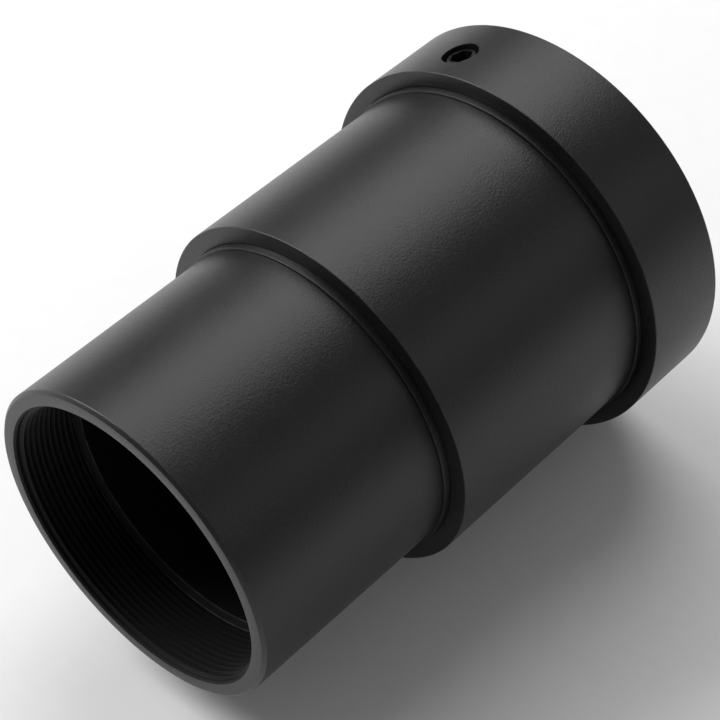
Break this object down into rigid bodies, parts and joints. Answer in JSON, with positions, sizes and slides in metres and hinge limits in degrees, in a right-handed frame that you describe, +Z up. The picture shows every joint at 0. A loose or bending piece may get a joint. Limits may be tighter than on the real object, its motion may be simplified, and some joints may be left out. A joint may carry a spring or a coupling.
{
  "type": "laser collimator",
  "caption": "Stepped black laser collimator for a telescope focuser: open threaded barrel, wider body, rear collar with a clamp screw, and a slide-out laser unit with a switch in its cap.",
  "frame": {"origin": "centre of the front of the rim round the barrel's root, on the optical axis, where the collimator stops against the focuser", "axes": "-Y along the optical axis out of the barrel's mouth, +Y towards the battery cap, +Z up with the object lying on its side"},
  "size_m": [0.0392, 0.0561, 0.0392],
  "materials": {
    "black_anodised": "matt black anodised, fine blasted grain",
    "black_oxide_steel": "black oxide",
    "brass": "turned",
    "spring_steel": "bright drawn wire",
    "nickel_steel": "satin nickel plate",
    "black_rubber": "moulded nitrile",
    "red_plastic": "satin moulded",
    "black_plastic": "moulded acetal",
    "circuit_board": "green solder mask",
    "lens_glass": "coated"
  },
  "bodies": {
    "housing": {"nose_barrel": "black_anodised", "body_tube": "black_anodised", "rear_collar": "black_anodised"},
    "clamp_screw": {"collar_set_screw": "black_oxide_steel"},
    "laser_unit": {"laser_sleeve": "black_anodised", "aperture_disc": "black_anodised", "coin_cell": "nickel_steel", "cell_holder": "black_plastic", "negative_spring": "spring_steel"},
    "cap_seal": {"cap_o_ring": "black_rubber"},
    "cap": {"battery_cap": "black_anodised", "switch_body": "black_plastic", "switch_board": "circuit_board", "positive_spring": "spring_steel"},
    "button": {"switch_button": "red_plastic"},
    "laser_module": {"laser_module_body": "brass", "pivot_o_ring": "black_rubber", "laser_diode": "nickel_steel", "driver_board": "circuit_board", "lens_spring": "spring_steel"},
    "lens": {"collimating_lens": "lens_glass"},
    "focus_ring": {"lens_cell": "brass"},
    "align_screw_top": {"alignment_screw_1": "black_oxide_steel"},
    "align_screw_right": {"alignment_screw_2": "black_oxide_steel"},
    "align_screw_left": {"alignment_screw_3": "black_oxide_steel"}
  },
  "joints": [
    {"name": "clamp_screw_travel", "type": "slide", "parent": "housing", "child": "clamp_screw", "axis": [-0.3923, 0, 0.9198], "range_m": [-0.0004, 0.0032]},
    {"name": "laser_unit_slide", "type": "slide", "parent": "housing", "child": "laser_unit", "axis": [0, 1, 0], "range_m": [0, 0.038]},
    {"name": "cap_thread_travel", "type": "slide", "parent": "laser_unit", "child": "cap_seal", "axis": [0, 1, 0], "range_m": [0, 0.00225]},
    {"name": "cap_turn", "type": "hinge", "parent": "cap_seal", "child": "cap", "pos_m": [0, 0.03135, 0], "axis": [0, 1, 0], "range_deg": [0, 1080]},
    {"name": "button_press", "type": "slide", "parent": "cap", "child": "button", "axis": [0, -1, 0], "range_m": [0, 0.0008], "stiffness_N_per_m": 1500, "springref_m": -0.0005},
    {"name": "module_tilt", "type": "hinge", "parent": "laser_unit", "child": "laser_module", "pos_m": [0, 0.00013, 0], "axis": [1, 0, 0], "range_deg": [-1.5, 1.5]},
    {"name": "focus_travel", "type": "slide", "parent": "laser_module", "child": "lens", "axis": [0, -1, 0], "range_m": [-0.00025, 0.00025]},
    {"name": "focus_turn", "type": "hinge", "parent": "lens", "child": "focus_ring", "pos_m": [0, 0.00295, 0], "axis": [0, -1, 0], "range_deg": [-180.5, 180.5]},
    {"name": "align_top_travel", "type": "slide", "parent": "laser_unit", "child": "align_screw_top", "axis": [0, 0, 1], "range_m": [-0.0004, 0.0004]},
    {"name": "align_right_travel", "type": "slide", "parent": "laser_unit", "child": "align_screw_right", "axis": [0.866, 0, -0.5], "range_m": [-0.0002, 0.0002]},
    {"name": "align_left_travel", "type": "slide", "parent": "laser_unit", "child": "align_screw_left", "axis": [-0.866, 0, -0.5], "range_m": [-0.0002, 0.0002]}
  ],
  "couplings": [
    {"joint": "cap_thread_travel", "follows": "cap_turn", "m_per_rad": 0.00011937},
    {"joint": "focus_turn", "follows": "focus_travel", "rad_per_m": 12566},
    {"joint": "align_top_travel", "follows": "module_tilt", "m_per_rad": 0.014},
    {"joint": "align_right_travel", "follows": "module_tilt", "m_per_rad": -0.007},
    {"joint": "align_left_travel", "follows": "module_tilt", "m_per_rad": -0.007}
  ]
}
